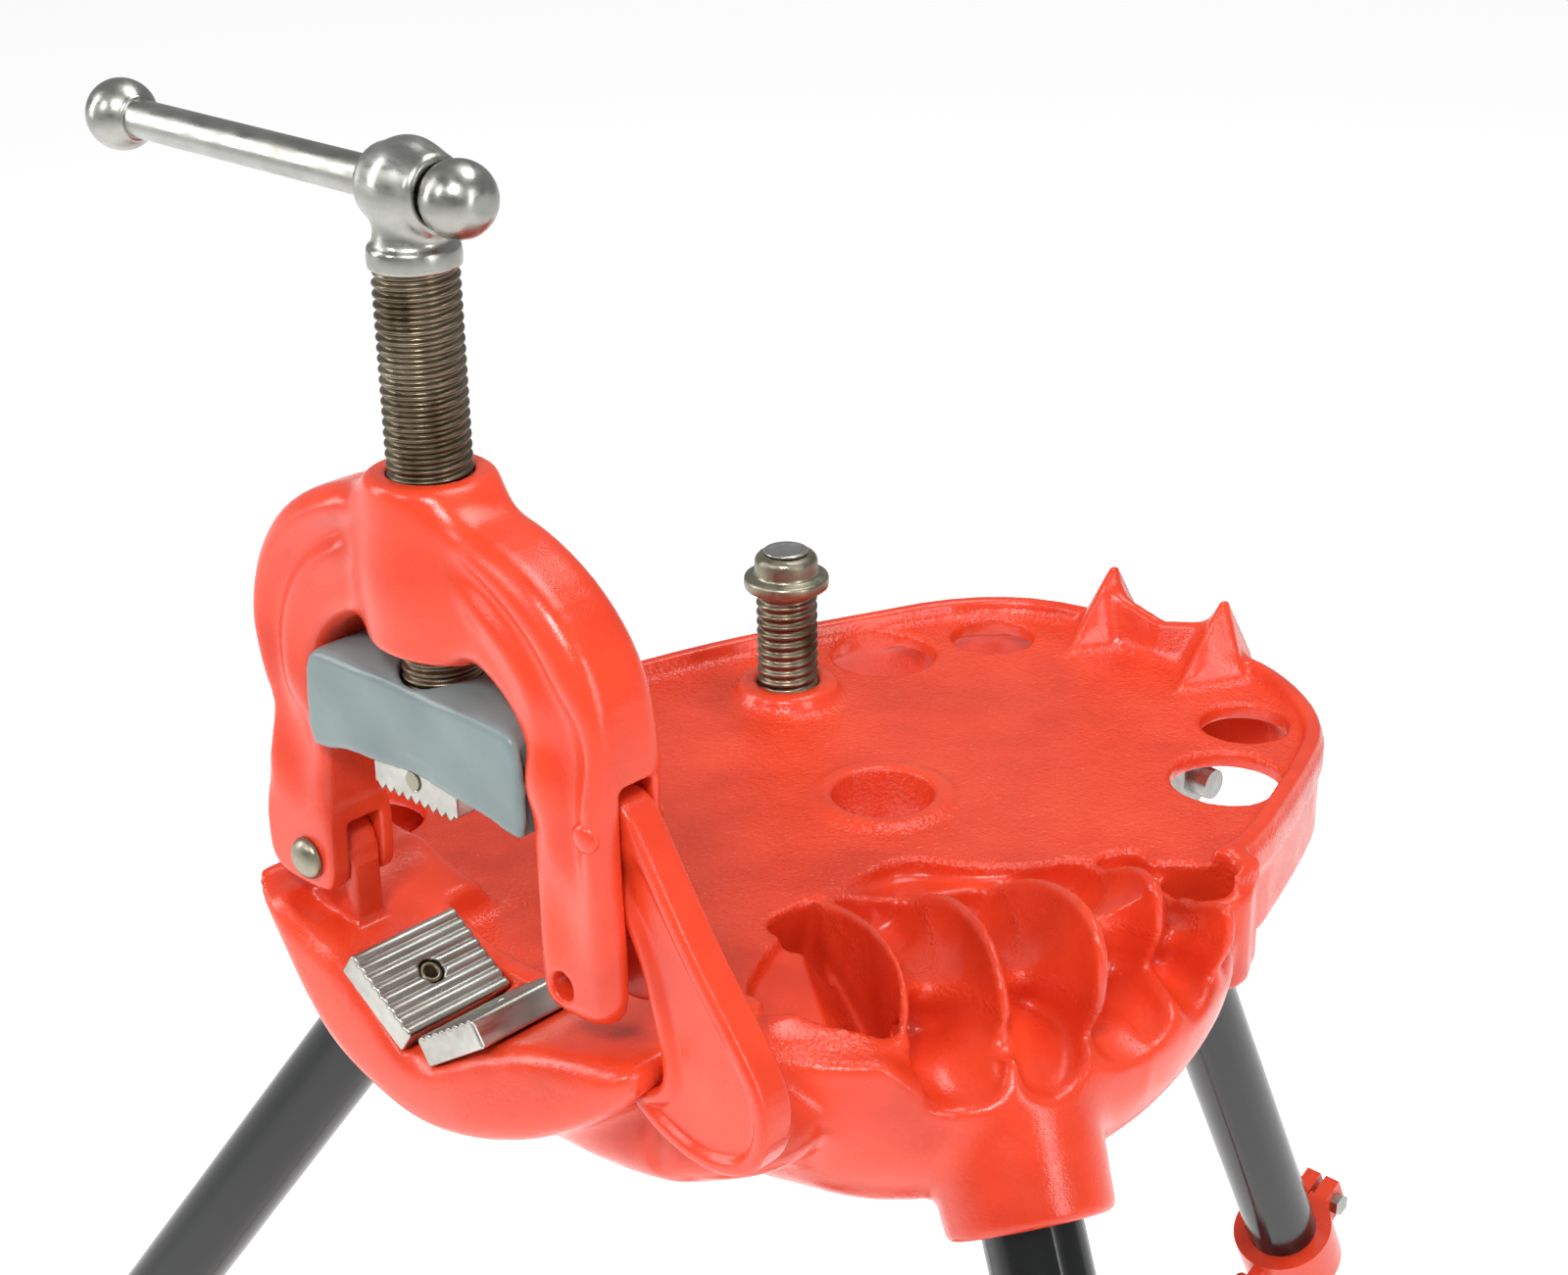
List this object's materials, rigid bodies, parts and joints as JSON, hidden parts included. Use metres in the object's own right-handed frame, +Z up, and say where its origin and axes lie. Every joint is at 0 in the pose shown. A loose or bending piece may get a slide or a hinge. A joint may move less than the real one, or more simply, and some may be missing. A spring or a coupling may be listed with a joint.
{
  "type": "tripod pipe vise stand",
  "caption": "Folding tripod pipe vise stand: cast deck with hinged yoke vise, latch hook, serrated jaws, conduit bender, pipe rest, ceiling brace and lifting tool tray.",
  "frame": {"origin": "on the floor, under the middle of the whole spread stand's bounding box", "axes": "+Z up, +Y from the vise to the rear leg, +X to the right as seen from the vise's front"},
  "size_m": [1.3092, 0.9248, 1.111],
  "materials": {
    "red_paint": "semi-gloss enamel over sand casting",
    "grey_paint": "gloss enamel over forging",
    "black_paint": "gloss enamel on tube",
    "tool_steel": "milled",
    "bright_steel": "satin",
    "oiled_screw_steel": "oiled cut thread",
    "plated_steel": "dull zinc plate",
    "rubber": "moulded"
  },
  "bodies": {
    "base": {"base_casting": "red_paint", "lower_jaw_left": "tool_steel", "lower_jaw_right": "tool_steel", "lower_jaw_pins": "plated_steel", "yoke_hinge_rivet": "plated_steel", "leg_pivot_bolt_front_left": "plated_steel", "leg_pivot_bolt_front_right": "plated_steel", "leg_pivot_bolt_rear": "plated_steel", "leg_pivot_washers": "plated_steel", "leg_pivot_nuts": "plated_steel"},
    "yoke": {"yoke": "red_paint", "hook_pin": "red_paint"},
    "hook": {"latch_hook": "red_paint"},
    "jaw_carrier": {"upper_jaw_holder": "grey_paint", "upper_jaw": "tool_steel", "upper_jaw_pin": "plated_steel", "screw_keeper_pins": "plated_steel"},
    "screw": {"vise_screw": "oiled_screw_steel"},
    "handle": {"handle_bar": "bright_steel", "handle_ball_left": "bright_steel", "handle_ball_right": "bright_steel"},
    "brace_cap": {"brace_cap": "bright_steel"},
    "brace_stud": {"brace_stud": "oiled_screw_steel"},
    "tray": {"tool_tray": "red_paint", "tray_rivet_head_front_left": "plated_steel", "tray_rivet_head_front_right": "plated_steel", "tray_rivet_head_rear": "plated_steel"},
    "leg_front_left": {"leg_tube_front_left": "black_paint", "leg_head_front_left": "plated_steel", "leg_foot_front_left": "rubber", "leg_collar_front_left": "red_paint", "collar_bolt_front_left": "plated_steel", "collar_pin_front_left": "plated_steel"},
    "link_front_left": {"tray_link_front_left": "red_paint", "link_rivet_head_front_left": "plated_steel"},
    "leg_front_right": {"leg_tube_front_right": "black_paint", "leg_head_front_right": "plated_steel", "leg_foot_front_right": "rubber", "leg_collar_front_right": "red_paint", "collar_bolt_front_right": "plated_steel", "collar_pin_front_right": "plated_steel"},
    "link_front_right": {"tray_link_front_right": "red_paint", "link_rivet_head_front_right": "plated_steel"},
    "leg_rear": {"leg_tube_rear": "black_paint", "leg_head_rear": "plated_steel", "leg_foot_rear": "rubber", "leg_collar_rear": "red_paint", "collar_bolt_rear": "plated_steel", "collar_pin_rear": "plated_steel"},
    "link_rear": {"tray_link_rear": "red_paint", "link_rivet_head_rear": "plated_steel"}
  },
  "joints": [
    {"name": "yoke_swing", "type": "hinge", "parent": "base", "child": "yoke", "pos_m": [-0.06, -0.29114, 0.8685], "axis": [0, -1, 0], "range_deg": [0, 64]},
    {"name": "hook_swing", "type": "hinge", "parent": "yoke", "child": "hook", "pos_m": [0.074, -0.29114, 0.923], "axis": [0, -1, 0], "range_deg": [0, 48]},
    {"name": "jaw_slide", "type": "slide", "parent": "yoke", "child": "jaw_carrier", "axis": [0, 0, 1], "range_m": [-0.05801, 0.00201]},
    {"name": "screw_turn", "type": "hinge", "parent": "jaw_carrier", "child": "screw", "pos_m": [0, -0.29114, 1.0952], "axis": [0, 0, 1], "range_deg": [-6576.38, 226.77]},
    {"name": "handle_slide", "type": "slide", "parent": "screw", "child": "handle", "axis": [1, 0, 0], "range_m": [0, 0.118]},
    {"name": "brace_lift", "type": "slide", "parent": "base", "child": "brace_cap", "axis": [0, 0, 1], "range_m": [-0.03601, 0.04001]},
    {"name": "brace_turn", "type": "hinge", "parent": "brace_cap", "child": "brace_stud", "pos_m": [-0.0853, -0.05394, 0.88], "axis": [0, 0, 1], "range_deg": [-3240, 3600]},
    {"name": "leg_fold_front_left", "type": "hinge", "parent": "base", "child": "leg_front_left", "pos_m": [-0.12063, -0.17394, 0.8], "axis": [0.4617, -0.887, 0], "range_deg": [0, 35.4]},
    {"name": "leg_fold_front_right", "type": "hinge", "parent": "base", "child": "leg_front_right", "pos_m": [0.12063, -0.17394, 0.8], "axis": [0.4617, 0.887, 0], "range_deg": [0, 35.4]},
    {"name": "leg_fold_rear", "type": "hinge", "parent": "base", "child": "leg_rear", "pos_m": [0, 0.04286, 0.8], "axis": [-1, 0, 0], "range_deg": [0, 26.1]},
    {"name": "tray_lift", "type": "slide", "parent": "base", "child": "tray", "axis": [0, 0, 1], "range_m": [0, 0.16477]},
    {"name": "link_swing_front_left", "type": "hinge", "parent": "leg_front_left", "child": "link_front_left", "pos_m": [-0.33139, -0.28365, 0.40179], "axis": [0.4617, -0.887, 0], "range_deg": [0, 46.73]},
    {"name": "link_swing_front_right", "type": "hinge", "parent": "leg_front_right", "child": "link_front_right", "pos_m": [0.33139, -0.28365, 0.40179], "axis": [0.4617, 0.887, 0], "range_deg": [0, 46.73]},
    {"name": "link_swing_rear", "type": "hinge", "parent": "leg_rear", "child": "link_rear", "pos_m": [0, 0.17131, 0.4537], "axis": [-1, 0, 0], "range_deg": [0, 62.84]}
  ],
  "couplings": [
    {"joint": "jaw_slide", "follows": "screw_turn", "m_per_rad": 0.00050532},
    {"joint": "brace_lift", "follows": "brace_turn", "m_per_rad": 0.00063662},
    {"joint": "leg_fold_front_right", "follows": "leg_fold_front_left", "ratio": 1},
    {"joint": "leg_fold_rear", "follows": "leg_fold_front_left", "ratio": 0.73729},
    {"joint": "tray_lift", "follows": "leg_fold_front_left", "m_per_rad": 0.26666},
    {"joint": "link_swing_front_left", "follows": "leg_fold_front_left", "ratio": 1.3199},
    {"joint": "link_swing_front_right", "follows": "leg_fold_front_left", "ratio": 1.3199},
    {"joint": "link_swing_rear", "follows": "leg_fold_front_left", "ratio": 1.7749}
  ]
}
